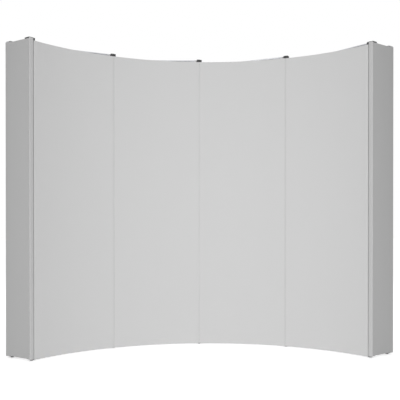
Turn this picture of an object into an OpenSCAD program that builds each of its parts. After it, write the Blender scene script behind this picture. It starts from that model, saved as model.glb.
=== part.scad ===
// Curved pop up display backwall, four bays wide and three rows high.
// A lattice of crossed struts stands on the floor and holds two layers of hubs apart.
// Box section bars hang on the front hubs, and the graphic panels hang on the bars.
// Millimetres. +Z is up, the hollow side of the curve faces -Y, the feet stand at z = 0.

/* [Curve] */
// Radius of the curve, to the front faces of the panels
front_radius = 1470; // [1300:10:1700]
// Angle that one bay takes up on the curve, in degrees
bay_angle = 26.4; // [20:0.2:28]
// Distance from the front hubs to the rear hubs
frame_depth = 198; // [170:2:240]

/* [Hubs] */
// Half the width and height of a hub
hub_half = 20.5; // [20:0.5:24]
// Radius across a hub's rounded corners
hub_corner_r = 25; // [23:0.5:28]
// Thickness of a hub
hub_t = 20; // [16:1:26]
// Distance from a hub's centre to a strut's pivot pin
pivot_out = 15; // [14:0.5:16]
// Distance from a hub's centre plane to the plane of a strut
strut_offset = 10.5; // [10:0.25:11.5]
// Radius of the pins that the struts turn on
pin_r = 1.95; // [1.5:0.05:2.5]
// Radius of a stud's neck, which carries a bar
stud_r = 4; // [3:0.25:5]
// Radius of a stud's head
stud_head_r = 8; // [6.5:0.25:9]
// Thickness of a stud's head
stud_head_t = 2; // [1.5:0.25:2.5]
// Length of the shoulder behind a stud
shoulder = 3.6; // [2:0.2:6]
// Depth of the shallow ring round a hub's shoulder
moat_deep = 1.5; // [0.5:0.25:2]
// Reach of the two ears on a hub's inner face, to their pin
ear_reach = 9; // [8:0.5:12]
// Thickness of an ear
ear_t = 3; // [2:0.25:4]
// Radius of the pin between a hub's ears
ear_pin_r = 2.5; // [2:0.1:3]

/* [Struts] */
// Outer radius of a strut's tube
tube_r = 6; // [5:0.25:6.5]
// Wall of a strut's tube
tube_wall = 1; // [0.8:0.1:1.5]
// Distance from a strut's pivot to the mouth of its tube
tube_start = 17; // [16:0.5:22]
// Thickness of the tongue on a strut's end
tongue_t = 5; // [4:0.25:6]
// Half width of the tongue
tongue_r = 6; // [5:0.25:7]
// Length of the plug inside a tube
plug_l = 25; // [15:1:40]
// Radius of the rivet where two struts cross
rivet_r = 1.5; // [1.2:0.1:2]

/* [Bars] */
// Width of a bar
bar_w = 32; // [28:1:36]
// Depth of a bar's box section
bar_d = 10; // [9.5:0.5:12]
// Wall of a bar
bar_wall = 1.5; // [1:0.1:2]
// Height of a bar's lower end above the floor
bar_bottom = 4; // [1:0.5:8]
// Height of the joints in a bar above the hubs under them
joint_above_hub = 100; // [70:5:200]
// Length of the joiner inside a bar's joint
joiner_l = 90; // [60:5:120]
// How far a bar is lifted to free it from its studs
bar_lift = 16; // [14:0.5:20]
// Length of a hanger block's plug inside its bar
block_plug = 20; // [12:1:40]
// Height of a bar's hanger block above the hub that it hangs on
block_over_hub = 16.5; // [15.5:0.5:24]

/* [Panels] */
// Thickness of a panel's sheet
sheet_t = 1.2; // [0.8:0.1:2]
// Gap between two neighbouring panels
panel_gap = 2; // [1:0.5:4]
// Height of the panels' lower edges above the floor
panel_bottom = 5; // [3:1:15]
// How far the panels' upper edges lie below the top hubs' centres
panel_under_hub = 3.5; // [0:0.5:8]
// Thickness of the stiffening rails behind a panel's upper and lower edges
rail_t = 1.6; // [1.2:0.1:2]
// Height of those rails
rail_h = 24; // [18:1:30]
// Width of the magnetic strips
magnet_w = 12.7; // [10:0.1:13]
// Thickness of a panel's magnetic strips
panel_magnet_t = 1.2; // [0.8:0.1:1.5]
// Thickness of a bar's magnetic strips
bar_magnet_t = 1.4; // [1:0.1:1.8]
// Width of the hooks that a panel hangs on
hook_w = 6.5; // [5:0.5:7]
// Thickness of a hook
hook_t = 1.5; // [1:0.25:1.75]
// Length of a hook's leg behind the panel's upper edge
hook_leg = 7; // [5:0.5:9]
// Radius of the pins that the hooks hang on
hanger_r = 1.5; // [1:0.1:1.8]

/* [Corners] */
// Distance from an end column's hub centres to the outer face of its end panel
corner_out = 36; // [34:0.5:42]
// Thickness of the corner trims
trim_t = 2; // [1.5:0.25:2]
// Radius of a corner trim's rounded edge
corner_r = 3; // [2.25:0.25:4]
// Length of the trim's leg behind the end panel
leg_l = 32; // [28:1:40]
// Height of the trims' lower ends above the floor
trim_bottom = 10; // [4:1:20]
// How far the trims stand above the panels
trim_over_panel = 15; // [10:0.5:19]
// How much higher the end panels hang than the curved ones
end_lift = 10; // [8:0.5:12]

/* [Lock arms] */
// Thickness of a lock arm
arm_t = 6; // [5:0.25:6.5]
// Height of a lock arm
arm_h = 10; // [8:0.5:12]
// Radius of a lock arm's eye and of its hook
arm_eye_r = 7; // [6:0.25:8]
// Height of the finger tab on a lock arm
tab_h = 14; // [10:1:20]
// Width of the finger tab
tab_w = 12; // [9:0.5:16]
// Distance from a lock arm's hook to its tab
tab_from_hook = 18; // [15:1:60]

/* [Feet] */
// Height of a foot under its hub
foot_h = 14; // [10:0.5:24]
// Radius of a foot's pad
foot_r = 13; // [11:0.5:18]
// Height of a foot's pad
pad_h = 6.3; // [4:0.1:8]

/* [Hidden] */
columns = 5;                    // hub columns: one more than the bays
rows = 4;                       // hub rows: one more than the rows of cells
fit = 0.1;                      // radial clearance of a pin in its hole
slide_fit = 0.3;                // clearance of a tongue in its slot, or of a plug in its tube's end
magnet_gap = 0.2;               // air between a panel's magnetic strip and its bar's
seat_gap = 0.4;                 // air between a hub's shoulder and the back of a bar
strap_gap = 0.6;                // air round a panel's hook
merge = 0.1;                    // how far parts of one moulding run into each other
cut = 1;                        // how far a cutting shape stands out of what it cuts
round_fn = 48;                  // facets that a preview draws on a small round
curve_fn = 240;                 // facets that a preview draws on the wall's full circle

half_bay = bay_angle / 2;
end_angle = bay_angle * (columns - 1) / 2;

// Radii from the centre of the curve, front to back
sheet_back = front_radius + sheet_t;
bar_face = sheet_back + panel_magnet_t + magnet_gap + bar_magnet_t;
bar_back = bar_face + bar_d;
front_hub_r = bar_back + seat_gap + shoulder + hub_t / 2;
rear_hub_r = front_hub_r + frame_depth;
middle_r = (front_hub_r + rear_hub_r) / 2;
stud_reach = hub_t / 2 + shoulder + seat_gap + bar_wall + fit + stud_head_t;

// The struts: pivots at half_front and half_rear from a bay's middle line, all struts of one length
half_front = front_hub_r * sin(half_bay) - pivot_out * cos(half_bay);
half_rear = rear_hub_r * sin(half_bay) - pivot_out * cos(half_bay);
row_front_y = front_hub_r * cos(half_bay) + pivot_out * sin(half_bay);
bay_depth = frame_depth * cos(half_bay);
strut_l = norm([half_front + half_rear, bay_depth]);
row_angle = atan2(bay_depth, half_front + half_rear);
row_split = half_front / (half_front + half_rear);
column_rise = sqrt(strut_l * strut_l - frame_depth * frame_depth);
column_angle = atan2(column_rise, frame_depth);
row_pitch = column_rise + 2 * pivot_out;

// Half the length of a strut's pin, which goes through the tongue and into both walls of its slot
pin_bite = 3.2;
pin_half = tongue_t / 2 + slide_fit + pin_bite;

// Heights
first_hub_z = foot_h + hub_half;
top_hub_z = first_hub_z + (rows - 1) * row_pitch;
panel_top = top_hub_z - panel_under_hub;
panel_h = panel_top - panel_bottom;
block_floor = 1.7;              // wall of a hanger block below its keyhole
bar_top = top_hub_z - bar_lift - stud_head_r - slide_fit - block_floor;
block_top = top_hub_z + block_over_hub;
block_web = 4;                  // wall of a hanger block between its keyhole and its pins
hanger_z = top_hub_z + stud_head_r + block_web;
rail_edge = 0.5;                // the rails stop this far inside the sheet's edges
strip_edge = 1;                 // the straight magnetic strips stop this far inside an edge
magnet_end = rail_h + 4;        // from a panel's upper or lower edge to its magnetic strips
strip_h = panel_h - 2 * magnet_end;

// The line that a curved panel hangs and swings on, in its bay's frame
hook_edge = 5;                  // from the column's centre plane to the hook
hook_ring = hanger_r + slide_fit + hook_t;
hook_half = sheet_back * sin(half_bay) - hook_edge;     // from the bay's middle to the hook's outer side
hook_front = sqrt(pow(sheet_back, 2) - pow(hook_half - hook_w, 2));
hanger_y = hook_front + hook_ring;
hanger_r_at_column = hanger_y / cos(half_bay);
window_x = hook_edge - strap_gap;
window_w = hook_w + 2 * strap_gap + 1.5;                // with room to swing the hook's skewed end
hanger_in = 1.5;                // from the column's centre plane to a hanger pin's inner end
hanger_l = window_x + window_w + 1.4 - hanger_in;       // its outer end sits 1.4 deep in the block

// The corners, in their column's frame, with x counted outwards from the hubs
leg_face = corner_out - sheet_t - panel_magnet_t - magnet_gap - bar_magnet_t;
end_hanger_x = corner_out - sheet_t - hook_ring;
trim_in = 3;                    // the front trim starts this far outside the end column's centre line
groove = 2;                     // open line between a trim and the end panel
trim_return = 6;                // depth of the trim's outer side
trim_top = panel_top + trim_over_panel;
end_bottom = panel_bottom + end_lift;
end_top = panel_top + end_lift;
end_sheet_front = front_radius + trim_return + groove;
end_sheet_w = 2 * (middle_r - end_sheet_front);
corner_ear = 4;                 // wall on each side of an end panel's hook
end_hook_r = front_hub_r + hub_t / 2 + corner_ear;      // where the end panel's front hook starts

// Corner of the wall's box nearest the viewer, and its rearmost stud
low_y = (front_radius + corner_r) * cos(end_angle) - (corner_out - corner_r) * sin(end_angle) - corner_r;
high_y = rear_hub_r + stud_reach;
curve_y = -(low_y + high_y) / 2;

function hub_z(row) = first_hub_z + row * row_pitch;
function column_turn(column) = (column - (columns - 1) / 2) * bay_angle;

// Places a piece in the frame of a column: y is the distance from the curve's centre
module at_column(column) {
    translate([0, curve_y, 0]) rotate([0, 0, -column_turn(column)]) children();
}

// Places a piece in the frame of a bay, half way between two columns
module at_bay(bay) {
    at_column(bay + 0.5) children();
}

// Places a piece at an end column with x outwards: side 1 is the right end, side -1 the left
module at_end(side) {
    mirror([side < 0 ? 1 : 0, 0, 0]) at_column(columns - 1) children();
}

// Turns a piece about the middle of the frame's depth, from the front hubs to the rear ones
module to_rear() {
    translate([0, 2 * middle_r, 0]) mirror([0, 1, 0]) children();
}

module front_and_rear() {
    children();
    to_rear() children();
}

// A cylinder along y
module along_y(r, h) {
    rotate([-90, 0, 0]) cylinder(r = r, h = h, $fn = round_fn);
}

// A cylinder along x
module along_x(r, h) {
    rotate([0, 90, 0]) cylinder(r = r, h = h, $fn = round_fn);
}

// ---------------------------------------------------------------- hubs

// A moulded hub: its stud points to -y, its two ears point to +y, inside the frame.
// Four slots take the strut ends. Turned half round about z, the same moulding is a rear hub.
module hub() {
    slot_w = tongue_t + 2 * slide_fit;
    slot_in = pivot_out - tongue_r - 1.5;       // floor of a slot, behind the tongue's round end
    pin_in = strut_offset - pin_half;
    ring_r = stud_head_r + 2;
    moat_in = ring_r + 1.5;
    moat_out = moat_in + 2.5;
    color([0.09, 0.09, 0.1]) difference() {
        union() {
            intersection() {
                translate([0, -hub_t / 2, 0]) along_y(hub_corner_r, hub_t);
                cube([2 * hub_half, hub_t, 2 * hub_half], center = true);
            }
            translate([0, -hub_t / 2 - shoulder, 0]) along_y(ring_r, shoulder + cut);
            translate([0, -stud_reach, 0]) along_y(stud_r, stud_reach - hub_t / 2);
            translate([0, -stud_reach, 0]) along_y(stud_head_r, stud_head_t);
            for (side = [-1, 1]) hub_ear(side);
        }
        for (turn = [0, 90, 180, 270]) rotate([0, turn, 0]) {
            // the slot, and the blind hole for its pin, drilled in from the rim
            translate([slot_in, -hub_t, -strut_offset - slot_w / 2]) cube([hub_half, 2 * hub_t, slot_w]);
            translate([pivot_out, 0, -hub_half - cut])
                cylinder(r = pin_r + fit, h = hub_half + cut - pin_in + fit, $fn = round_fn);
        }
        translate([-hub_half, hub_t / 2 + ear_reach, 0]) along_x(ear_pin_r + fit, 2 * hub_half);
        // shallow ring that lightens the outer face round the shoulder
        translate([0, -hub_t / 2 - cut, 0]) difference() {
            along_y(moat_out, moat_deep + cut);
            translate([0, -cut, 0]) along_y(moat_in, moat_deep + 3 * cut);
        }
    }
}

// One of the two ears that hold a lock arm's pin or catch it
module hub_ear(side) {
    inner = arm_t / 2 + slide_fit;
    start = side > 0 ? inner : -inner - ear_t;
    translate([start, hub_t / 2 - cut, -arm_eye_r]) cube([ear_t, ear_reach + cut, 2 * arm_eye_r]);
    translate([start, hub_t / 2 + ear_reach, 0]) along_x(arm_eye_r, ear_t);
}

module at_hub(column, row, rear) {
    at_column(column) translate([0, rear ? rear_hub_r : front_hub_r, hub_z(row)])
        rotate([0, 0, rear ? 180 : 0]) children();
}

module place_hubs(row, rear) {
    for (column = [0 : columns - 1]) at_hub(column, row, rear) children();
}

// ---------------------------------------------------------------- struts

// A strut's tube lies along x from the pivot at the origin, with its pins along z
module strut_tube(split) {
    color([0.72, 0.73, 0.75]) difference() {
        translate([tube_start, 0, 0]) along_x(tube_r, strut_l - 2 * tube_start);
        translate([tube_start - cut, 0, 0]) along_x(tube_r - tube_wall, strut_l - 2 * tube_start + 2 * cut);
        translate([split * strut_l, 0, -2 * tube_r])
            cylinder(r = rivet_r + fit, h = 4 * tube_r, $fn = round_fn);
    }
}

// The moulded end of a strut: a flat tongue with a pin hole, a collar, and a plug in the tube
module strut_end() {
    collar_l = 3;
    collar_r = tube_r + 0.5;
    color([0.12, 0.12, 0.13]) difference() {
        union() {
            translate([0, 0, -tongue_t / 2]) cylinder(r = tongue_r, h = tongue_t, $fn = round_fn);
            translate([0, -tongue_r, -tongue_t / 2]) cube([tube_start - cut, 2 * tongue_r, tongue_t]);
            translate([tube_start - collar_l, 0, 0]) along_x(collar_r, collar_l);
            translate([tube_start - cut, 0, 0]) along_x(tube_r - tube_wall - fit, plug_l + cut);
        }
        translate([0, 0, -tongue_t]) cylinder(r = pin_r + fit, h = 2 * tongue_t, $fn = round_fn);
    }
}

module strut_ends() {
    strut_end();
    translate([strut_l, 0, 0]) mirror([1, 0, 0]) strut_end();
}

// A pin in each end of a strut, through the tongue and both walls of the hub's slot
module strut_pins() {
    color([0.6, 0.6, 0.62]) for (x = [0, strut_l])
        translate([x, 0, -pin_half]) cylinder(r = pin_r, h = 2 * pin_half, $fn = round_fn);
}

// The rivet where two struts cross: heads outside both tubes, and a spacer between them
module crossing_rivet(split) {
    head_t = 1.4;
    head_r = rivet_r + 2;
    spacer_r = rivet_r + 2.5;
    half_l = strut_offset + tube_r + fit;
    spacer = strut_offset - tube_r - fit;
    color([0.55, 0.55, 0.57]) translate([split * strut_l, 0, strut_offset]) {
        translate([0, 0, -half_l]) cylinder(r = rivet_r, h = 2 * half_l, $fn = round_fn);
        translate([0, 0, -spacer]) cylinder(r = spacer_r, h = 2 * spacer, $fn = round_fn);
        for (end = [-1, 1]) translate([0, 0, end * (half_l + head_t / 2)])
            cylinder(r = head_r, h = head_t, center = true, $fn = round_fn);
    }
}

// The two struts that cross in a bay at one row: kind 1 rises to the right rear hub, kind -1 to the left
module place_row_strut(bay, row, kind) {
    at_bay(bay) mirror([kind < 0 ? 1 : 0, 0, 0])
        translate([-half_front, row_front_y, hub_z(row) - kind * strut_offset])
            rotate([0, 0, row_angle]) children();
}

// The two struts that cross in a column above one row: kind 1 starts at the front hub, kind -1 at the rear
module place_column_strut(column, row, kind) {
    at_column(column)
        translate([kind * strut_offset, kind > 0 ? front_hub_r : rear_hub_r, hub_z(row) + pivot_out])
            rotate([90, 0, 90]) rotate([0, 0, kind > 0 ? column_angle : 180 - column_angle]) children();
}

module row_struts(row) {
    for (bay = [0 : columns - 2], kind = [-1, 1]) place_row_strut(bay, row, kind) strut_tube(row_split);
}

module column_struts(column) {
    for (row = [0 : rows - 2], kind = [-1, 1]) place_column_strut(column, row, kind) strut_tube(0.5);
}

module row_strut_ends() {
    for (row = [0 : rows - 1], bay = [0 : columns - 2], kind = [-1, 1])
        place_row_strut(bay, row, kind) strut_ends();
}

module column_strut_ends() {
    for (column = [0 : columns - 1], row = [0 : rows - 2], kind = [-1, 1])
        place_column_strut(column, row, kind) strut_ends();
}

module crossing_rivets() {
    for (row = [0 : rows - 1], bay = [0 : columns - 2])
        place_row_strut(bay, row, 1) crossing_rivet(row_split);
    for (column = [0 : columns - 1], row = [0 : rows - 2])
        place_column_strut(column, row, -1) crossing_rivet(0.5);
}

module hub_pins() {
    for (row = [0 : rows - 1], bay = [0 : columns - 2], kind = [-1, 1])
        place_row_strut(bay, row, kind) strut_pins();
    for (column = [0 : columns - 1], row = [0 : rows - 2], kind = [-1, 1])
        place_column_strut(column, row, kind) strut_pins();
    for (rear = [false, true]) place_hubs(0, rear) foot_pin();
    for (column = [1 : columns - 2], row = [1 : rows - 2], rear = [false, true])
        at_hub(column, row, rear) ear_pin();
}

// The pin between a hub's ears
module ear_pin() {
    ear_span = arm_t + 2 * slide_fit + 2 * ear_t;
    color([0.6, 0.6, 0.62]) translate([-ear_span / 2, hub_t / 2 + ear_reach, 0]) along_x(ear_pin_r, ear_span);
}

// ---------------------------------------------------------------- feet

// A foot: a rubber pad on a neck under the hub, and a tongue pinned in the hub's lower slot
module foot() {
    neck_r = foot_r - 4;
    edge = 1;
    low = -hub_half - foot_h;
    color([0.1, 0.1, 0.1]) difference() {
        union() {
            translate([0, 0, low]) rotate_extrude($fn = round_fn) polygon([
                [0, 0], [foot_r - edge, 0], [foot_r, edge], [foot_r, pad_h - edge], [foot_r - edge, pad_h],
                [neck_r, pad_h + edge], [neck_r, foot_h - slide_fit], [0, foot_h - slide_fit]
            ]);
            translate([-strut_offset - tongue_t / 2, -tongue_r, low + foot_h / 2])
                cube([tongue_t, 2 * tongue_r, hub_half + foot_h / 2 - pivot_out]);
            translate([-strut_offset - tongue_t / 2, 0, -pivot_out]) along_x(tongue_r, tongue_t);
        }
        translate([-hub_half, 0, -pivot_out]) along_x(pin_r + fit, hub_half);
    }
}

module foot_pin() {
    color([0.6, 0.6, 0.62]) translate([-strut_offset - pin_half, 0, -pivot_out]) along_x(pin_r, 2 * pin_half);
}

module feet() {
    for (rear = [false, true]) place_hubs(0, rear) foot();
}

// ---------------------------------------------------------------- bars

// A bar in its column's frame: a box section, keyholed behind for the studs, cut in three
module bar() {
    joint_gap = 0.3;
    joints = [for (row = [1 : rows - 2]) hub_z(row) + joint_above_hub];
    ends = concat([bar_bottom - joint_gap], joints, [bar_top]);
    color([0.75, 0.76, 0.78]) for (piece = [0 : len(ends) - 2]) difference() {
        translate([-bar_w / 2, bar_face, ends[piece] + joint_gap])
            cube([bar_w, bar_d, ends[piece + 1] - ends[piece] - joint_gap]);
        translate([-bar_w / 2 + bar_wall, bar_face + bar_wall, bar_bottom - cut])
            cube([bar_w - 2 * bar_wall, bar_d - 2 * bar_wall, bar_top - bar_bottom + 2 * cut]);
        for (row = [0 : rows - 2])
            if (hub_z(row) > ends[piece] && hub_z(row) < ends[piece + 1]) keyhole(hub_z(row));
    }
}

// The head goes in at the round hole, and the neck slides up to the end of the slot
module keyhole(z) {
    neck = stud_r + slide_fit;
    translate([0, bar_back - bar_wall - cut, z]) {
        along_y(neck, bar_wall + 2 * cut);
        translate([-neck, 0, -bar_lift]) cube([2 * neck, bar_wall + 2 * cut, bar_lift]);
        translate([0, 0, -bar_lift]) along_y(stud_head_r + slide_fit, bar_wall + 2 * cut);
    }
}

// What slides inside a bar's box, from z = low up
module bar_core(low, h) {
    gap = bar_wall + slide_fit;
    translate([-bar_w / 2 + gap, bar_face + gap, low]) cube([bar_w - 2 * gap, bar_d - 2 * gap, h]);
}

// A joiner bridges each cut inside a bar
module joiners() {
    color([0.2, 0.2, 0.21]) for (row = [1 : rows - 2])
        bar_core(hub_z(row) + joint_above_hub - joiner_l / 2, joiner_l);
}

module bar_joiners() {
    for (column = [0 : columns - 1]) at_column(column) joiners();
    for (side = [-1, 1]) at_end(side) to_rear() joiners();
}

// The moulded block on a bar's upper end: it hangs on the top hub's stud and carries the panels' pins.
// sides lists the sides, 1 or -1 along x, on which a curved panel hangs.
module hanger_block(sides) {
    head = stud_head_r + slide_fit;
    head_room = stud_head_t + 2 * slide_fit;
    difference() {
        union() {
            translate([-bar_w / 2, bar_face, bar_top]) cube([bar_w, bar_d, block_top - bar_top]);
            bar_core(bar_top - block_plug, block_plug + cut);
        }
        keyhole(top_hub_z);
        translate([0, bar_back - bar_wall - head_room, top_hub_z]) {
            along_y(head, head_room + merge);
            translate([-head, 0, -bar_lift]) cube([2 * head, head_room + merge, bar_lift]);
            translate([0, 0, -bar_lift]) along_y(head, head_room + merge);
        }
        for (side = sides) mirror([side < 0 ? 1 : 0, 0, 0]) {
            // a window round the hook, open above, and a shallow channel for its leg
            translate([window_x, bar_face - cut, hanger_z - hook_ring - strap_gap])
                cube([window_w, hanger_r_at_column + hook_ring - bar_face, bar_d + block_over_hub]);
            translate([window_x, bar_face - cut, bar_top - cut]) cube([window_w, 2 * cut, block_top]);
            hanger_line() along_x(hanger_r + fit, bar_w);
        }
    }
}

// Where a curved panel's hanger pin runs in its column's frame
module hanger_line() {
    translate([0, hanger_r_at_column, hanger_z]) rotate([0, 0, -half_bay])
        translate([hanger_in, 0, 0]) children();
}

// The block at an end column has an arm round its hub, which holds the end panel's pin
module corner_block(sides) {
    arm_low = end_top + 0.5;
    arm_x = hub_half + 2.5;
    arm_out = end_hanger_x + hanger_r + 1;
    arm_end = end_hook_r + hook_w + strap_gap + corner_ear;
    arm_front = front_radius + trim_return;
    arm_back = bar_back + 2;
    slot_start = end_hook_r - strap_gap;
    slot_w = hook_w + 2 * strap_gap;
    difference() {
        union() {
            hanger_block(sides);
            translate([bar_w / 2 - cut, arm_front, arm_low])
                cube([arm_out - bar_w / 2 + cut, arm_back - arm_front, block_top - arm_low]);
            translate([arm_x, arm_front, arm_low])
                cube([arm_out - arm_x, arm_end - arm_front, block_top - arm_low]);
        }
        translate([end_hanger_x - hook_ring - strap_gap, slot_start, hanger_z - hook_ring - strap_gap])
            cube([corner_out, slot_w, bar_d + block_over_hub]);
        translate([end_hanger_x + hook_ring - hook_t - strap_gap, slot_start, arm_low - cut])
            cube([corner_out, slot_w, block_top]);
        translate([end_hanger_x, slot_start - corner_ear - cut, hanger_z])
            along_y(hanger_r + fit, slot_w + 2 * corner_ear + 2 * cut);
    }
}

module hanger_blocks() {
    color([0.07, 0.07, 0.08]) {
        for (column = [1 : columns - 2]) at_column(column) hanger_block([-1, 1]);
        for (side = [-1, 1]) at_end(side) {
            corner_block([-1]);
            to_rear() corner_block([]);
        }
    }
}

// Both sides of each column on which a curved panel hangs, with x towards that panel
module for_panel_sides() {
    for (column = [0 : columns - 1], side = [-1, 1])
        if (column + side >= 0 && column + side < columns)
            at_column(column) mirror([side < 0 ? 1 : 0, 0, 0]) children();
}

module hanger_pins() {
    color([0.6, 0.6, 0.62]) {
        for_panel_sides() hanger_line() along_x(hanger_r, hanger_l);
        for (side = [-1, 1]) at_end(side) front_and_rear()
            translate([end_hanger_x, end_hook_r - corner_ear, hanger_z])
                along_y(hanger_r, hook_w + 2 * corner_ear);
    }
}

// Magnetic strips on the bars' faces and on the trims' legs
module bar_magnets() {
    color([0.2, 0.17, 0.15]) {
        for_panel_sides()
            translate([bar_w / 2 - magnet_w - strip_edge, bar_face - bar_magnet_t, panel_bottom + magnet_end])
                cube([magnet_w, bar_magnet_t, strip_h]);
        for (side = [-1, 1]) at_end(side) front_and_rear()
            translate([leg_face, end_sheet_front + strip_edge, end_bottom + magnet_end])
                cube([bar_magnet_t, magnet_w, strip_h]);
    }
}

// ---------------------------------------------------------------- corners

// The outline of a corner trim: a front plate on two ribs, a rounded edge, a return and a leg
module trim_outline() {
    back = bar_face - front_radius;
    translate([trim_in, 0]) square([corner_out - corner_r - trim_in, trim_t]);
    for (x = [trim_in, bar_w / 2 - trim_t])
        translate([x, trim_t - merge]) square([trim_t, back - trim_t + merge]);
    intersection() {
        translate([corner_out - corner_r, corner_r]) difference() {
            circle(r = corner_r, $fn = round_fn);
            circle(r = corner_r - trim_t, $fn = round_fn);
        }
        translate([corner_out - corner_r, 0]) square(corner_r);
    }
    translate([corner_out - trim_t, corner_r]) square([trim_t, trim_return - corner_r]);
}

module trim_leg() {
    translate([leg_face - trim_t, trim_t - merge]) square([trim_t, leg_l]);
}

module corner_trim() {
    color([0.74, 0.75, 0.76]) translate([0, front_radius, trim_bottom]) {
        linear_extrude(trim_top - trim_bottom) trim_outline();
        linear_extrude(end_top - trim_bottom) trim_leg();
    }
}

module corner_trims(side) {
    at_end(side) front_and_rear() corner_trim();
}

// ---------------------------------------------------------------- panels

// A curved plate in its bay's frame, thickness t behind radius r, held in from the side edges by inset
module curved_plate(r, t, low, high, inset) {
    spread = bay_angle - 2 * asin((panel_gap / 2 + inset) / r);
    rotate([0, 0, 90 - spread / 2]) rotate_extrude(angle = spread, $fn = curve_fn)
        translate([r, low]) square([t, high - low]);
}

module panel_sheet(bay) {
    color([0.8, 0.8, 0.8]) at_bay(bay) curved_plate(front_radius, sheet_t, panel_bottom, panel_top, 0);
}

// The rails behind a panel's upper and lower edges, with the two hooks that it hangs on
module panel_rails(bay) {
    color([0.3, 0.3, 0.31]) at_bay(bay) {
        curved_plate(sheet_back, rail_t, panel_bottom + rail_edge, panel_bottom + rail_h, rail_edge);
        curved_plate(sheet_back, rail_t, panel_top - rail_h, panel_top - rail_edge, rail_edge);
        for (side = [-1, 1]) mirror([side < 0 ? 1 : 0, 0, 0])
            translate([hook_half - hook_w, hanger_y, hanger_z]) hook(hanger_z - panel_top + hook_leg);
    }
}

// A hook along x round a pin at the origin, open below, with a leg that hangs drop below the pin
module hook(drop) {
    tail = 1;
    sliver = 0.01;
    rotate([90, 0, 90]) linear_extrude(hook_w) {
        difference() {
            circle(r = hook_ring, $fn = round_fn);
            circle(r = hook_ring - hook_t, $fn = round_fn);
            translate([-hook_ring - cut, -2 * hook_ring]) square([2 * hook_ring + 2 * cut, 2 * hook_ring]);
        }
        translate([-hook_ring, -drop]) square([hook_t, drop + sliver]);
        translate([hook_ring - hook_t, -tail]) square([hook_t, tail + sliver]);
    }
}

module panel_magnets(bay) {
    spread = 2 * asin(magnet_w / 2 / sheet_back);
    color([0.2, 0.17, 0.15]) at_bay(bay) for (side = [-1, 1]) mirror([side < 0 ? 1 : 0, 0, 0])
        rotate([0, 0, 90 - half_bay + asin((panel_gap / 2 + 0.3) / sheet_back)])
            rotate_extrude(angle = spread, $fn = curve_fn)
                translate([sheet_back, panel_bottom + magnet_end]) square([panel_magnet_t, strip_h]);
}

module end_sheet(side) {
    color([0.66, 0.66, 0.66]) at_end(side) translate([corner_out - sheet_t, end_sheet_front, end_bottom])
        cube([sheet_t, end_sheet_w, panel_h]);
}

module end_rails(side) {
    rail_w = end_sheet_w - 2 * rail_edge;
    color([0.3, 0.3, 0.31]) at_end(side) {
        for (z = [end_bottom + rail_edge, end_top - rail_h])
            translate([corner_out - sheet_t - rail_t, end_sheet_front + rail_edge, z])
                cube([rail_t, rail_w, rail_h - rail_edge]);
        front_and_rear() translate([end_hanger_x, end_hook_r, hanger_z]) rotate([0, 0, 90])
            hook(hanger_z - end_top + hook_leg);
    }
}

module end_magnets(side) {
    color([0.2, 0.17, 0.15]) at_end(side) front_and_rear()
        translate([corner_out - sheet_t - panel_magnet_t, end_sheet_front + strip_edge, 0])
            translate([0, 0, end_bottom + magnet_end]) cube([panel_magnet_t, magnet_w, strip_h]);
}

// ---------------------------------------------------------------- lock arms

// A lock arm lies along y from its pin in a rear hub to the pin in the front hub, which its hook drops over
module lock_arm() {
    reach = frame_depth - hub_t - 2 * ear_reach;
    slot = ear_pin_r + fit;
    tab_y = -reach + tab_from_hook;
    color([0.13, 0.13, 0.14]) difference() {
        translate([-arm_t / 2, 0, 0]) union() {
            along_x(arm_eye_r - 0.5, arm_t);
            translate([0, -reach, 0]) along_x(arm_eye_r, arm_t);
            translate([0, -reach, -arm_h / 2]) cube([arm_t, reach, arm_h]);
            translate([0, tab_y, 0]) cube([arm_t, tab_w, tab_h]);
            translate([0, tab_y + tab_w / 2, tab_h]) along_x(tab_w / 2, arm_t);
        }
        translate([-arm_t, 0, 0]) along_x(slot, 2 * arm_t);
        translate([-arm_t, -reach, 0]) along_x(slot, 2 * arm_t);
        translate([-arm_t, -reach - slot, -2 * arm_eye_r]) cube([2 * arm_t, 2 * slot, 2 * arm_eye_r]);
    }
}

// Arms 1 to 3 are on the second row of hubs, 4 to 6 on the third, from left to right
module place_lock_arm(number) {
    row = number > 3 ? 2 : 1;
    at_column((number - 1) % 3 + 1) translate([0, rear_hub_r - hub_t / 2 - ear_reach, hub_z(row)]) lock_arm();
}

place_hubs(0, false) hub();  // front_hubs_row_1
place_hubs(1, false) hub();  // front_hubs_row_2
place_hubs(2, false) hub();  // front_hubs_row_3
place_hubs(3, false) hub();  // front_hubs_row_4
place_hubs(0, true) hub();  // rear_hubs_row_1
place_hubs(1, true) hub();  // rear_hubs_row_2
place_hubs(2, true) hub();  // rear_hubs_row_3
place_hubs(3, true) hub();  // rear_hubs_row_4
row_struts(0);  // row_struts_1
row_struts(1);  // row_struts_2
row_struts(2);  // row_struts_3
row_struts(3);  // row_struts_4
column_struts(0);  // column_struts_1
column_struts(1);  // column_struts_2
column_struts(2);  // column_struts_3
column_struts(3);  // column_struts_4
column_struts(4);  // column_struts_5
row_strut_ends();
column_strut_ends();
crossing_rivets();
hub_pins();
feet();
at_column(0) bar();  // front_bar_1
at_column(1) bar();  // front_bar_2
at_column(2) bar();  // front_bar_3
at_column(3) bar();  // front_bar_4
at_column(4) bar();  // front_bar_5
at_column(0) to_rear() bar();  // rear_bar_left
at_column(4) to_rear() bar();  // rear_bar_right
bar_joiners();
hanger_blocks();
hanger_pins();
bar_magnets();
corner_trims(-1);  // corner_trims_left
corner_trims(1);  // corner_trims_right
panel_sheet(0);  // panel_sheet_1
panel_sheet(1);  // panel_sheet_2
panel_sheet(2);  // panel_sheet_3
panel_sheet(3);  // panel_sheet_4
panel_rails(0);  // panel_rails_1
panel_rails(1);  // panel_rails_2
panel_rails(2);  // panel_rails_3
panel_rails(3);  // panel_rails_4
panel_magnets(0);  // panel_magnets_1
panel_magnets(1);  // panel_magnets_2
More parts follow.
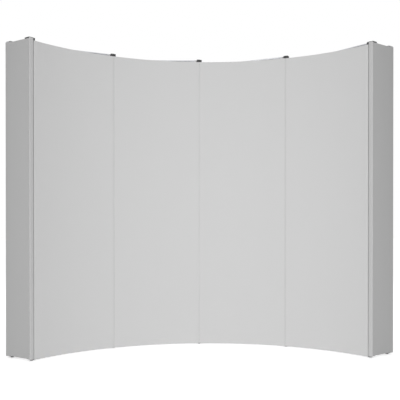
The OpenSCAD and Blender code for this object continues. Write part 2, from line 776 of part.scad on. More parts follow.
panel_magnets(2);  // panel_magnets_3
panel_magnets(3);  // panel_magnets_4
end_sheet(-1);  // end_sheet_left
end_sheet(1);  // end_sheet_right
end_rails(-1);  // end_rails_left
end_rails(1);  // end_rails_right
end_magnets(-1);  // end_magnets_left
end_magnets(1);  // end_magnets_right
place_lock_arm(1);  // lock_arm_1
place_lock_arm(2);  // lock_arm_2
place_lock_arm(3);  // lock_arm_3
place_lock_arm(4);  // lock_arm_4
place_lock_arm(5);  // lock_arm_5
place_lock_arm(6);  // lock_arm_6
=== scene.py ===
import math

import bpy
from mathutils import Matrix, Vector


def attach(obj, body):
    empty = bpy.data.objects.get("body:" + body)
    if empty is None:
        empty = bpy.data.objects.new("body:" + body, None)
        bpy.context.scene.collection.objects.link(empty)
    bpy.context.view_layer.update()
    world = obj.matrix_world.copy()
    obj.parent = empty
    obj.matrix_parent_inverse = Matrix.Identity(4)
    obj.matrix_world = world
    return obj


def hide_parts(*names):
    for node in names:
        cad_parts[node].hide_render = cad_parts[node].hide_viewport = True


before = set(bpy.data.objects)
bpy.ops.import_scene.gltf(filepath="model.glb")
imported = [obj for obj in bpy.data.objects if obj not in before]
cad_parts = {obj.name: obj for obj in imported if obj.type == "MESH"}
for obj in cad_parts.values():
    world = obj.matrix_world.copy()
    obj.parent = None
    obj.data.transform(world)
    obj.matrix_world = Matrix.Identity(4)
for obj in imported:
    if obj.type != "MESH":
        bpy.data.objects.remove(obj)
bpy.ops.object.select_all(action="DESELECT")
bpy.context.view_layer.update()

# Millimetres while the pieces are modelled; layOut() brings them to metres.
# Each piece is modelled in the frame of its own column, bay or corner, as the real ones are made.
wall = {
    "columns": 5,
    "rows": 4,
    "bayAngle": 26.4,           # degrees from one column to the next
    "curveY": -1287.44,         # where the curve's centre lies
    "frontRadius": 1470.0,      # to the faces of the panels
    "frontHubRadius": 1498.0,
    "rearHubRadius": 1696.0,
    "firstHubZ": 34.5,
    "pivotOut": 15.0,
    "strutOffset": 10.5,
}
halfBay = math.radians(wall["bayAngle"] / 2)
frameDepth = wall["rearHubRadius"] - wall["frontHubRadius"]
middleRadius = (wall["frontHubRadius"] + wall["rearHubRadius"]) / 2
halfFront = wall["frontHubRadius"] * math.sin(halfBay) - wall["pivotOut"] * math.cos(halfBay)
halfRear = wall["rearHubRadius"] * math.sin(halfBay) - wall["pivotOut"] * math.cos(halfBay)
rowFrontY = wall["frontHubRadius"] * math.cos(halfBay) + wall["pivotOut"] * math.sin(halfBay)
bayDepth = frameDepth * math.cos(halfBay)
strutLength = math.hypot(halfFront + halfRear, bayDepth)
rowAngle = math.degrees(math.atan2(bayDepth, halfFront + halfRear))
rowSplit = halfFront / (halfFront + halfRear)
columnRise = math.sqrt(strutLength ** 2 - frameDepth ** 2)
columnAngle = math.degrees(math.atan2(columnRise, frameDepth))
rowPitch = columnRise + 2 * wall["pivotOut"]
hubZ = [wall["firstHubZ"] + row * rowPitch for row in range(wall["rows"])]
columns = range(wall["columns"])
bays = range(wall["columns"] - 1)


# Places

def shift(x, y, z):
    return Matrix.Translation((x, y, z))


def turn(degrees, axis):
    return Matrix.Rotation(math.radians(degrees), 4, axis)


def flip(axis):
    return Matrix.Scale(-1, 4, {"X": (1, 0, 0), "Y": (0, 1, 0), "Z": (0, 0, 1)}[axis])


asIs = Matrix.Identity(4)
toRear = shift(0, 2 * middleRadius, 0) @ flip("Y")


def columnPlace(column):
    return shift(0, wall["curveY"], 0) @ turn(-(column - (wall["columns"] - 1) / 2) * wall["bayAngle"], "Z")


def bayPlace(bay):
    return columnPlace(bay + 0.5)


def cornerPlace(side):          # x outwards; side 1 is the right end, side -1 the left
    return (flip("X") if side < 0 else asIs) @ columnPlace(wall["columns"] - 1)


def hubPlace(column, row, rear):
    radius = wall["rearHubRadius"] if rear else wall["frontHubRadius"]
    return columnPlace(column) @ shift(0, radius, hubZ[row]) @ turn(180 if rear else 0, "Z")


def rowStrutPlace(bay, row, kind):
    return (bayPlace(bay) @ (flip("X") if kind < 0 else asIs)
            @ shift(-halfFront, rowFrontY, hubZ[row] - kind * wall["strutOffset"]) @ turn(rowAngle, "Z"))


def columnStrutPlace(column, row, kind):
    radius = wall["frontHubRadius"] if kind > 0 else wall["rearHubRadius"]
    return (columnPlace(column) @ shift(kind * wall["strutOffset"], radius, hubZ[row] + wall["pivotOut"])
            @ turn(90, "Z") @ turn(90, "X") @ turn(columnAngle if kind > 0 else 180 - columnAngle, "Z"))


rowStruts = [(bay, row, kind) for row in range(4) for bay in bays for kind in (-1, 1)]
columnStruts = [(column, row, kind) for column in columns for row in range(3) for kind in (-1, 1)]


# Modelling

def pick(*items):
    bpy.ops.object.select_all(action="DESELECT")
    for item in items:
        item.select_set(True)
    bpy.context.view_layer.objects.active = items[0]


def settle(name):               # a new shape gets its name, and its place goes into its mesh
    item = bpy.context.object
    item.name = item.data.name = name
    bpy.ops.object.transform_apply(location=True, rotation=True, scale=True)
    return item


def openMesh(item):
    pick(item)
    bpy.ops.object.mode_set(mode="EDIT")
    bpy.ops.mesh.select_all(action="SELECT")


def closeMesh(item, merge=0.0):
    bpy.ops.mesh.select_all(action="SELECT")
    if merge:
        bpy.ops.mesh.remove_doubles(threshold=merge)
    bpy.ops.mesh.normals_make_consistent(inside=False)
    bpy.ops.object.mode_set(mode="OBJECT")
    return item


def addBox(name, low, high):
    bpy.ops.object.select_all(action="DESELECT")
    bpy.ops.mesh.primitive_cube_add(size=1, location=[(a + b) / 2 for a, b in zip(low, high)])
    bpy.context.object.scale = [b - a for a, b in zip(low, high)]
    return settle(name)


def addRod(name, radius, start, end, sides=48):
    start, end = Vector(start), Vector(end)
    bpy.ops.object.select_all(action="DESELECT")
    bpy.ops.mesh.primitive_cylinder_add(vertices=sides, radius=radius, depth=(end - start).length,
                                        location=(start + end) / 2)
    bpy.context.object.rotation_euler = (end - start).to_track_quat("Z", "Y").to_euler()
    return settle(name)


def drawLine(name, points):     # one vertex, extruded from point to point
    points = [Vector(point) for point in points]
    bpy.ops.object.select_all(action="DESELECT")
    bpy.ops.mesh.primitive_plane_add(size=1, location=points[0])
    bpy.ops.object.mode_set(mode="EDIT")
    bpy.ops.mesh.select_all(action="SELECT")
    bpy.ops.mesh.merge(type="CENTER")
    for here, there in zip(points, points[1:]):
        bpy.ops.mesh.extrude_vertices_move(TRANSFORM_OT_translate={"value": there - here})
    bpy.ops.object.mode_set(mode="OBJECT")
    return settle(name)


def turnProfile(name, points, steps=48):        # points are radius and height; the axis is z
    item = drawLine(name, [(radius, 0, height) for radius, height in points])
    openMesh(item)
    bpy.ops.mesh.spin(steps=steps, angle=2 * math.pi, center=(0, 0, 0), axis=(0, 0, 1))
    return closeMesh(item, merge=0.001)


def turnRing(name, points, steps=48):           # the same for a closed profile off the axis
    return turnProfile(name, [*points, points[0]], steps)


def raiseOutline(name, points, low, high):      # an outline in x and y, extruded upwards
    item = drawLine(name, [(x, y, low) for x, y in points])
    openMesh(item)
    bpy.ops.mesh.edge_face_add()
    bpy.ops.mesh.extrude_region_move(TRANSFORM_OT_translate={"value": (0, 0, high - low)})
    return closeMesh(item)


def sweepSection(name, points, spread, steps):  # radius and height, spun about the curve's centre
    start = math.radians(90 + spread / 2)
    along, across = math.cos(start), math.sin(start)
    item = drawLine(name, [(radius * along, radius * across, height) for radius, height in points])
    openMesh(item)
    bpy.ops.mesh.edge_face_add()
    bpy.ops.mesh.spin(steps=steps, angle=math.radians(spread), center=(0, 0, 0), axis=(0, 0, 1))
    return closeMesh(item, merge=0.001)


def move(item, place):
    item.data.transform(place)
    if place.determinant() < 0:
        item.data.flip_normals()
    return item


def copyOf(item, place=asIs):
    twin = item.copy()
    twin.data = item.data.copy()
    bpy.context.scene.collection.objects.link(twin)
    return move(twin, place)


def combine(target, operation, tools):
    for tool in tools:
        pick(target)
        change = target.modifiers.new("shape", "BOOLEAN")
        change.operation = operation
        change.solver = "EXACT"
        change.object = tool
        bpy.ops.object.modifier_apply(modifier=change.name)
        bpy.data.objects.remove(tool)
    return target


def carve(target, *tools):
    return combine(target, "DIFFERENCE", tools)


def fuse(target, *tools):
    return combine(target, "UNION", tools)


def soften(item, width, segments=2, angle=35):
    pick(item)
    change = item.modifiers.new("edges", "BEVEL")
    change.width = width
    change.segments = segments
    change.limit_method = "ANGLE"
    change.angle_limit = math.radians(angle)
    bpy.ops.object.modifier_apply(modifier=change.name)
    return item


def join(name, items):
    pick(*items)
    if len(items) > 1:
        bpy.ops.object.join()
    item = bpy.context.object
    item.name = item.data.name = name
    return item


def layOut(name, model, places, body, nodes, keep=False):
    made = []
    for number, place in enumerate(places):
        twin = copyOf(model)
        grain = twin.data.attributes.new("grain", "FLOAT_VECTOR", "POINT")     # where the pattern lies, in mm
        start = Vector((number * 137.0, number * 59.0, number * 211.0))
        for spot, vertex in zip(grain.data, twin.data.vertices):
            spot.vector = vertex.co + start
        made.append(move(twin, Matrix.Scale(0.001, 4) @ place))
    piece = join(name, made)
    pick(piece)
    bpy.ops.object.shade_smooth_by_angle(angle=math.radians(32))
    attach(piece, body)
    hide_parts(*nodes)
    if not keep:
        bpy.data.objects.remove(model)
    return piece


def coat(item, *finishes):
    item.data.materials.clear()
    for finish in finishes:
        item.data.materials.append(finish)
    return item


# Finishes

class Wire:                     # a node's output that can be reckoned with
    def __init__(self, tree, socket=None):
        self.tree = tree
        self.socket = socket

    def add(self, kind, settings=None, inputs=None, output=0):
        node = self.tree.nodes.new(kind)
        for key, value in (settings or {}).items():
            if key == "stops":
                ramp = node.color_ramp
                for element, (position, colour) in zip([ramp.elements[0], ramp.elements[1]], value):
                    element.position = position
                    element.color = colour
            else:
                setattr(node, key, value)
        for key, value in (inputs or {}).items():
            if isinstance(value, Wire):
                self.tree.links.new(value.socket, node.inputs[key])
            else:
                node.inputs[key].default_value = value
        return Wire(self.tree, node.outputs[output] if len(node.outputs) else None)

    def reckon(self, operation, first, second):
        return self.add("ShaderNodeMath", {"operation": operation}, {0: first, 1: second})

    def __add__(self, other):
        return self.reckon("ADD", self, other)

    def __radd__(self, other):
        return self.reckon("ADD", other, self)

    def __sub__(self, other):
        return self.reckon("SUBTRACT", self, other)

    def __rsub__(self, other):
        return self.reckon("SUBTRACT", other, self)

    def __mul__(self, other):
        return self.reckon("MULTIPLY", self, other)

    def __rmul__(self, other):
        return self.reckon("MULTIPLY", other, self)


def shade(colour, factor):
    return (*[min(1.0, channel * factor) for channel in colour], 1.0)


def makeFinish(name, colour, mottle, roughness, roughnessSpread, bumps, metallic=0.0, specular=0.5,
               scuff=None):
    # mottle: amount and features per mm
    # bumps: features per mm in x, y and z, and depth in mm, from coarse to fine
    # scuff: colour, features per mm, share
    finish = bpy.data.materials.new(name)
    finish.use_nodes = True
    tree = finish.node_tree
    tree.nodes.clear()
    bench = Wire(tree)
    grain = bench.add("ShaderNodeAttribute", {"attribute_name": "grain"}, output=1)

    def cloud(scale, detail=3.0, start=0.0):
        spot = bench.add("ShaderNodeVectorMath", {"operation": "MULTIPLY"}, {0: grain, 1: scale})
        spot = bench.add("ShaderNodeVectorMath", {"operation": "ADD"}, {0: spot, 1: (start, start, start)})
        return bench.add("ShaderNodeTexNoise", {"noise_dimensions": "3D"},
                         {"Vector": spot, "Scale": 1.0, "Detail": detail, "Roughness": 0.55})

    def blend(factor, first, second):
        return bench.add("ShaderNodeMix", {"data_type": "RGBA"}, {0: factor, 6: first, 7: second}, output=2)

    def step(value, low, high):
        return bench.add("ShaderNodeMapRange", {"interpolation_type": "SMOOTHSTEP"},
                         {0: value, 1: low, 2: high, 3: 0.0, 4: 1.0})

    amount, scale = mottle
    patches = cloud((scale, scale, scale))
    specks = cloud((scale * 60, scale * 60, scale * 60), start=7.0)
    tone = patches * 0.7 + specks * 0.3
    look = blend(tone, shade(colour, 1 - amount), shade(colour, 1 + amount))
    rough = roughness + (tone - 0.5) * roughnessSpread
    if scuff:
        scuffColour, scuffScale, scuffShare = scuff
        marks = step(cloud(scuffScale, detail=5.0, start=31.0), 0.62, 0.74) * scuffShare
        look = blend(marks, look, (*scuffColour, 1.0))
        rough = rough + marks * 0.12
    normal = None
    for number, (bumpScale, depth) in enumerate(bumps):
        height = cloud(bumpScale, detail=2.0, start=11.0 + number * 5)
        inputs = {"Strength": 1.0, "Distance": depth * 0.001, "Height": height}
        if normal:
            inputs["Normal"] = normal
        normal = bench.add("ShaderNodeBump", None, inputs)
    surface = bench.add("ShaderNodeBsdfPrincipled", None, {
        "Base Color": look, "Roughness": rough, "Metallic": metallic, "Normal": normal,
        "Specular IOR Level": specular})
    bench.add("ShaderNodeOutputMaterial", None, {"Surface": surface})
    return finish


# Hubs

hubCast = {
    "half": 20.5, "corner": 25.0, "thickness": 20.0, "edge": 0.8,
    "studRadius": 4.0, "headRadius": 8.0, "headThickness": 2.0, "studReach": 17.6,
    "shoulder": 3.6, "shoulderRadius": 10.0, "moatDepth": 1.5, "moatIn": 11.5, "moatOut": 14.0,
    "slotWidth": 5.6, "slotIn": 7.5, "pinHole": 2.05, "pinDepth": 16.2,
    "earReach": 9.0, "earIn": 3.3, "earThickness": 3.0, "earRadius": 7.0, "earHole": 2.6,
    "colour": (0.016, 0.016, 0.018),
}
nylon = makeFinish("blackGlassFilledNylon", hubCast["colour"], (0.25, 0.05), 0.46, 0.16,
                   [((0.4, 0.4, 0.4), 0.05), ((3.0, 3.0, 3.0), 0.02)],
                   scuff=((0.06, 0.06, 0.06), (0.12, 0.12, 0.12), 0.35))


def makeHub():                  # the stud points to -y and the ears to +y
    c = hubCast
    half, deep = c["half"], c["thickness"] / 2
    hub = addRod("hub", c["corner"], (0, -deep, 0), (0, deep, 0), 96)
    combine(hub, "INTERSECT", [addBox("square", (-half, -deep - 1, -half), (half, deep + 1, half))])
    soften(hub, c["edge"])
    reach, head = c["studReach"], c["headRadius"]
    stud = turnProfile("stud", [
        (0, -reach), (head - 1.2, -reach), (head - 0.3, -reach + 0.3), (head, -reach + 1),
        (head - 0.3, -reach + 1.7), (head - 1, -reach + c["headThickness"]),
        (c["studRadius"] + 0.4, -reach + c["headThickness"]),
        (c["studRadius"], -reach + c["headThickness"] + 0.4), (c["studRadius"], -deep - c["shoulder"] - 0.4),
        (c["studRadius"] + 0.4, -deep - c["shoulder"]), (c["shoulderRadius"] - 0.5, -deep - c["shoulder"]),
        (c["shoulderRadius"], -deep - c["shoulder"] + 0.5), (c["shoulderRadius"], -deep + 1), (0, -deep + 1)])
    move(stud, turn(-90, "X"))
    fuse(hub, stud)
    moatIn, moatOut, floorAt = c["moatIn"], c["moatOut"], -deep + c["moatDepth"]
    moat = turnRing("moat", [(moatIn, -deep - 1), (moatOut, -deep - 1), (moatOut - 0.4, floorAt),
                             (moatIn + 0.4, floorAt)])
    move(moat, turn(-90, "X"))
    carve(hub, moat)
    for side in (-1, 1):
        inner, outer, earY = c["earIn"], c["earIn"] + c["earThickness"], deep + c["earReach"]
        low, high = sorted((side * inner, side * outer))
        ear = addBox("ear", (low, deep - 1, -c["earRadius"]), (high, earY, c["earRadius"]))
        fuse(ear, addRod("earEnd", c["earRadius"], (low, earY, 0), (high, earY, 0)))
        soften(ear, 0.4)
        carve(ear, addRod("hole", c["earHole"], (-half, earY, 0), (half, earY, 0), 32))
        fuse(hub, ear)
    for quarter in range(4):
        low = -wall["strutOffset"] - c["slotWidth"] / 2
        slot = addBox("slot", (c["slotIn"], -2 * deep, low), (2 * half, 2 * deep, low + c["slotWidth"]))
        out = wall["pivotOut"]
        hole = addRod("hole", c["pinHole"], (out, 0, -half - 1), (out, 0, -half + c["pinDepth"]), 24)
        carve(hub, move(slot, turn(90 * quarter, "Y")), move(hole, turn(90 * quarter, "Y")))
    return coat(hub, nylon)


hub = makeHub()
for row in range(wall["rows"]):
    for rear, layer in ((False, "front"), (True, "rear")):
        layOut(f"{layer}HubsRow{row + 1}", hub, [hubPlace(column, row, rear) for column in columns], "frame",
               [f"{layer}_hubs_row_{row + 1}"], keep=True)
bpy.data.objects.remove(hub)
print("hubs laid out")

# Struts

strutTube = {
    "radius": 6.0, "wall": 1.0, "start": 17.0, "crimp": 0.35, "crimpFrom": 9.0, "rivetHole": 1.6,
    "colour": (0.60, 0.61, 0.63),
}
drawnAluminium = makeFinish("drawnAluminium", strutTube["colour"], (0.05, 0.02), 0.34, 0.14,
                            [((0.006, 1.6, 1.6), 0.03), ((0.02, 9.0, 9.0), 0.012)], metallic=1.0,
                            scuff=((0.42, 0.42, 0.43), (0.03, 0.5, 0.5), 0.4))
strutEnd = {
    "tongueRadius": 6.0, "tongue": 5.0, "hole": 2.05, "collarRadius": 6.5, "collar": 3.0,
    "plugRadius": 4.9, "plug": 25.0, "colour": (0.42, 0.42, 0.43),
}
mouldedNylon = makeFinish("mouldedNylon", strutEnd["colour"], (0.06, 0.06), 0.42, 0.14,
                          [((0.5, 0.5, 0.5), 0.04), ((4.0, 4.0, 4.0), 0.015)])
rivet = {"radius": 1.5, "head": 3.5, "headThickness": 1.4, "spacer": 4.0, "colour": (0.62, 0.62, 0.61)}
zinc = makeFinish("zincPlatedSteel", rivet["colour"], (0.12, 0.4), 0.3, 0.2,
                  [((1.2, 1.2, 1.2), 0.02), ((6.0, 6.0, 6.0), 0.008)], metallic=1.0)


def makeTube(split):            # along x from the pivot at the origin
    c = strutTube
    outer, inner, low, high = c["radius"], c["radius"] - c["wall"], c["start"], strutLength - c["start"]
    dent, swage = outer - c["crimp"], c["crimpFrom"]
    half = [(outer - 0.3, 0), (outer, 0.3), (outer, swage), (dent, swage + 0.8), (dent, swage + 2.6),
            (outer, swage + 3.4)]
    points = [(inner, low), *[(r, low + x) for r, x in half], *[(r, high - x) for r, x in reversed(half)],
              (inner, high)]
    tube = move(turnRing("tube", points, 32), turn(90, "Y"))
    where = split * strutLength
    carve(tube, addRod("hole", c["rivetHole"], (where, 0, -9), (where, 0, 9), 24))
    return coat(tube, drawnAluminium)


def makeStrutEnd():
    c = strutEnd
    half, radius, start = c["tongue"] / 2, c["tongueRadius"], strutTube["start"]
    end = addRod("end", radius, (0, 0, -half), (0, 0, half))
    fuse(end, addBox("tongue", (0, -radius, -half), (start - 1, radius, half)))
    for side in (-1, 1):        # pockets that thin the moulding
        carve(end, addBox("pocket", (7.5, -3.6, side * half - 0.7), (12.5, 3.6, side * half + 0.7)))
    soften(end, 0.35)
    carve(end, addRod("hole", c["hole"], (0, 0, -9), (0, 0, 9), 32))
    collar, thick = c["collarRadius"], c["plugRadius"]
    plug = turnProfile("plug", [
        (0, start - c["collar"]), (collar - 0.5, start - c["collar"]), (collar, start - c["collar"] + 0.5),
        (collar, start - 0.4), (collar - 0.4, start), (thick, start), (thick, start + c["plug"] - 1),
        (thick - 1, start + c["plug"]), (0, start + c["plug"])], 32)
    fuse(end, move(plug, turn(90, "Y")))
    return coat(end, mouldedNylon)


def makeRivet():
    c = rivet
    grip = wall["strutOffset"] + strutTube["radius"] + 0.1
    gap = wall["strutOffset"] - strutTube["radius"] - 0.1
    top, head, spacer = grip + c["headThickness"], c["head"], c["spacer"]
    half = [(0, top), (head * 0.55, top - 0.1), (head * 0.9, top - 0.5), (head, grip + 0.3),
            (head - 0.2, grip), (c["radius"], grip), (c["radius"], gap), (spacer - 0.3, gap),
            (spacer, gap - 0.3)]
    model = turnProfile("rivet", [*half, *[(r, -z) for r, z in reversed(half)]], 32)
    return coat(move(model, shift(0, 0, wall["strutOffset"])), zinc)


def makePin(name, radius, length):              # along z, centred
    end = length / 2
    half = [(0, end), (radius - 0.35, end), (radius, end - 0.35)]
    return coat(turnProfile(name, [*half, *[(r, -z) for r, z in reversed(half)]], 24), zinc)


tube = makeTube(rowSplit)
for row in range(4):
    places = [rowStrutPlace(*strut) for strut in rowStruts if strut[1] == row]
    layOut(f"strutTubesRow{row + 1}", tube, places, "frame", [f"row_struts_{row + 1}"], keep=row < 3)
tube = makeTube(0.5)
for column in columns:
    places = [columnStrutPlace(*strut) for strut in columnStruts if strut[0] == column]
    layOut(f"strutTubesColumn{column + 1}", tube, places, "frame", [f"column_struts_{column + 1}"],
           keep=column < 4)
farEnd = shift(strutLength, 0, 0) @ flip("X")
end = makeStrutEnd()
rowPlaces = [rowStrutPlace(*strut) for strut in rowStruts]
columnPlaces = [columnStrutPlace(*strut) for strut in columnStruts]
layOut("strutEndsRows", end, [place @ at for place in rowPlaces for at in (asIs, farEnd)], "frame",
       ["row_strut_ends"], keep=True)
layOut("strutEndsColumns", end, [place @ at for place in columnPlaces for at in (asIs, farEnd)], "frame",
       ["column_strut_ends"])
rivetPlaces = [rowStrutPlace(bay, row, 1) @ shift(rowSplit * strutLength, 0, 0)
               for row in range(4) for bay in bays]
rivetPlaces += [columnStrutPlace(column, row, -1) @ shift(strutLength / 2, 0, 0)
                for column in columns for row in range(3)]
layOut("crossingRivets", makeRivet(), rivetPlaces, "frame", ["crossing_rivets"])
strutEnds = [place @ at for place in rowPlaces + columnPlaces for at in (asIs, shift(strutLength, 0, 0))]
pins = {"strutRadius": 1.95, "strutLength": 12.0, "earRadius": 2.5, "earLength": 12.6, "hangerRadius": 1.5,
        "cornerLength": 14.5}
footPlaces = [hubPlace(column, 0, rear) for column in columns for rear in (False, True)]
layOut("strutPins", makePin("pin", pins["strutRadius"], pins["strutLength"]), strutEnds, "frame",
       ["hub_pins"])
footPin = move(makePin("pin", pins["strutRadius"], pins["strutLength"]), turn(90, "Y"))
layOut("footPins", move(footPin, shift(-wall["strutOffset"], 0, -wall["pivotOut"])), footPlaces, "frame",
       ["hub_pins"])
earPin = move(makePin("pin", pins["earRadius"], pins["earLength"]), turn(90, "Y"))
layOut("earPins", move(earPin, shift(0, hubCast["thickness"] / 2 + hubCast["earReach"], 0)),
       [hubPlace(column, row, rear) for column in (1, 2, 3) for row in (1, 2) for rear in (False, True)],
       "frame", ["hub_pins"])
print("struts laid out")

# Feet

foot = {"height": 14.0, "radius": 13.0, "pad": 6.3, "neck": 9.0, "colour": (0.02, 0.02, 0.02)}
rubber = makeFinish("footRubber", foot["colour"], (0.3, 0.08), 0.7, 0.15,
                    [((0.3, 0.3, 0.3), 0.06), ((2.2, 2.2, 2.2), 0.03)],
                    scuff=((0.09, 0.085, 0.08), (0.1, 0.1, 0.1), 0.5))


def makeFoot():
    c = foot
    low, wide, pad, neck = -hubCast["half"] - c["height"], c["radius"], c["pad"], c["neck"]
    model = turnProfile("foot", [
        (0, low + 0.6), (4, low + 0.6), (4.6, low), (7, low), (7.6, low + 0.7), (8.6, low + 0.7), (9.2, low),
        (wide - 1.6, low), (wide - 0.5, low + 0.5), (wide, low + 1.5), (wide, low + pad - 1.5),
        (wide - 0.5, low + pad - 0.5), (wide - 1.6, low + pad), (neck + 0.8, low + pad + 0.3),
        (neck, low + pad + 1.1), (neck, low + c["height"] - 0.8), (neck - 0.5, low + c["height"] - 0.3),
        (0, low + c["height"] - 0.3)])
    inner, outer = -wall["strutOffset"] - 2.5, -wall["strutOffset"] + 2.5
    fuse(model, addBox("tongue", (inner, -6, low + c["height"] / 2), (outer, 6, -wall["pivotOut"])),
         addRod("tongueEnd", 6, (inner, 0, -wall["pivotOut"]), (outer, 0, -wall["pivotOut"])))
    carve(model, addRod("hole", 2.05, (-20, 0, -wall["pivotOut"]), (0, 0, -wall["pivotOut"]), 24))
    return coat(model, rubber)


layOut("feet", makeFoot(), footPlaces, "frame", ["feet"])

# Bars

bar = {
    "width": 32.0, "face": 1474.0, "depth": 10.0, "wall": 1.5, "edge": 0.7, "bottom": 4.0,
    "top": hubZ[3] - 26.0, "jointAboveHub": 100.0, "jointGap": 0.3, "joiner": 90.0, "lift": 16.0, "neck": 4.3,
    "head": 8.3, "sleeve": 6.0, "colour": (0.56, 0.57, 0.59),
}
barBack = bar["face"] + bar["depth"]
anodised = makeFinish("anodisedAluminium", bar["colour"], (0.04, 0.01), 0.4, 0.12,
                      [((1.4, 1.4, 0.004), 0.03), ((8.0, 8.0, 0.02), 0.012)], metallic=1.0,
                      scuff=((0.45, 0.45, 0.46), (0.4, 0.4, 0.02), 0.35))
joinerPlastic = makeFinish("joinerPlastic", (0.05, 0.05, 0.05), (0.2, 0.05), 0.5, 0.1,
                           [((1.0, 1.0, 1.0), 0.03)])


def keyhole(z):                 # the stud's head goes in at the round hole, and its neck slides up
    back, c = barBack, bar
    hole = addRod("keyhole", c["neck"], (0, back - 2.5, z), (0, back + 1, z), 32)
    return fuse(hole, addBox("slot", (-c["neck"], back - 2.5, z - c["lift"]), (c["neck"], back + 1, z)),
                addRod("round", c["head"], (0, back - 2.5, z - c["lift"]), (0, back + 1, z - c["lift"]), 40))


def barCore(name, low, high, edge=0.4):
    gap = bar["wall"] + 0.3
    half = bar["width"] / 2 - gap
    return soften(addBox(name, (-half, bar["face"] + gap, low), (half, barBack - gap, high)), edge)


barJoints = [hubZ[row] + bar["jointAboveHub"] for row in (1, 2)]


def makeBar():                  # three lengths, the lowest in a black sleeve at its foot
    c = bar
    sleeve = c["bottom"] + c["sleeve"]
    cuts = [c["bottom"] - c["jointGap"], sleeve, *barJoints, c["top"]]
    lengths = []
    for low, high in zip(cuts, cuts[1:]):
        half, thick = c["width"] / 2, c["wall"]
        start = low if low == sleeve else low + c["jointGap"]
        part = addBox("bar", (-half, c["face"], start), (half, barBack, high))
        soften(part, c["edge"])
        inside = addBox("inside", (-half + thick, c["face"] + thick, low - 5),
                        (half - thick, barBack - thick, high + 5))
        carve(part, inside, *[keyhole(z) for z in hubZ[:3] if low < z < high])
        lengths.append(coat(part, joinerPlastic if high == sleeve else anodised))
    return join("bar", lengths)


model = makeBar()
for column in columns:
    layOut(f"frontBar{column + 1}", model, [columnPlace(column)], "frame", [f"front_bar_{column + 1}"],
           keep=True)
layOut("rearBarLeft", model, [columnPlace(0) @ toRear], "frame", ["rear_bar_left"], keep=True)
layOut("rearBarRight", model, [columnPlace(4) @ toRear], "frame", ["rear_bar_right"])
barPlaces = [*[columnPlace(column) for column in columns], columnPlace(0) @ toRear, columnPlace(4) @ toRear]
halfJoiner = bar["joiner"] / 2
model = join("joiner", [barCore("joiner", joint - halfJoiner, joint + halfJoiner) for joint in barJoints])
layOut("barJoiners", coat(model, joinerPlastic), barPlaces, "frame", ["bar_joiners"])
print("bars laid out")

# Hanger blocks

block = {
    "top": hubZ[3] + 16.5, "edge": 0.9, "plug": 20.0, "headRoom": 2.6, "windowX": 4.4, "windowWidth": 9.2,
    "hangerZ": hubZ[3] + 12.0, "hangerHole": 1.6, "hangerIn": 1.5, "hangerLength": 13.5,
    "cornerPinX": 31.5, "cornerHookY": 1512.0, "armLow": 2227.55, "armWall": 4.6, "armOver": 2.5,
    "slotHalf": 3.9, "slotEnd": 0.6, "colour": (0.013, 0.013, 0.014),
}
hook = {"width": 6.5, "outer": 3.3, "inner": 1.8, "tail": 1.0, "leg": 7.0, "edge": 5.0}
sheetBack = wall["frontRadius"] + 1.2
hookHalf = sheetBack * math.sin(halfBay) - hook["edge"]
hangerY = math.sqrt(sheetBack ** 2 - (hookHalf - hook["width"]) ** 2) + hook["outer"]
hangerRadius = hangerY / math.cos(halfBay)
hangerLine = (shift(0, hangerRadius, block["hangerZ"]) @ turn(-math.degrees(halfBay), "Z")
              @ shift(block["hangerIn"], 0, 0))
blockPlastic = makeFinish("blockPlastic", block["colour"], (0.2, 0.05), 0.38, 0.14,
                          [((0.6, 0.6, 0.6), 0.05), ((5.0, 5.0, 5.0), 0.02)],
                          scuff=((0.05, 0.05, 0.05), (0.15, 0.15, 0.15), 0.3))


def makeBlock(sides, corner=False):
    c, top, low = block, block["top"], bar["top"]
    half, face, back = bar["width"] / 2, bar["face"], barBack
    model = soften(addBox("block", (-half, face, low), (half, back, top)), c["edge"])
    fuse(model, barCore("plug", low - c["plug"], low + 1))
    if corner:
        pinX, hangerZ, hookY, slot = c["cornerPinX"], c["hangerZ"], c["cornerHookY"], c["slotHalf"]
        armOut, armEnd = pinX + c["armOver"], hookY + hook["width"] + c["armWall"]
        arm = soften(addBox("arm", (half - 2, face + 2, c["armLow"]), (armOut, back + 2, top)), c["edge"])
        reach = soften(addBox("reach", (23, face + 2, c["armLow"]), (armOut, armEnd, top)), c["edge"])
        fuse(model, arm, reach)
        start, end = hookY - c["slotEnd"], hookY + hook["width"] + c["slotEnd"]
        carve(model, addBox("slot", (pinX - slot, start, hangerZ - slot), (60, end, top + 5)),
              addBox("leg", (pinX + 1.2, start, c["armLow"] - 1), (60, end, top + 5)),
              addRod("hole", c["hangerHole"], (pinX, start - 6, hangerZ), (pinX, end + 6, hangerZ), 24))
    z, deep = hubZ[3], back - 1.5 - c["headRoom"]
    carve(model, keyhole(z), addRod("head", bar["head"], (0, deep, z), (0, back - 1.4, z), 40),
          addBox("way", (-bar["head"], deep, z - bar["lift"]), (bar["head"], back - 1.4, z)),
          addRod("in", bar["head"], (0, deep, z - bar["lift"]), (0, back - 1.4, z - bar["lift"]), 40))
    for side in sides:
        mirror = flip("X") if side < 0 else asIs
        low, high, far = c["windowX"], c["windowX"] + c["windowWidth"], hangerRadius + hook["outer"] - 1
        tools = [addBox("window", (low, face - 1, c["hangerZ"] - c["slotHalf"]), (high, far, top + 5)),
                 addBox("channel", (low, face - 1, bar["top"] - 1), (high, face + 1, top + 5)),
                 move(addRod("hole", c["hangerHole"], (0, 0, 0), (32, 0, 0), 24), hangerLine)]
        carve(model, *[move(tool, mirror) for tool in tools])
    return coat(model, blockPlastic)


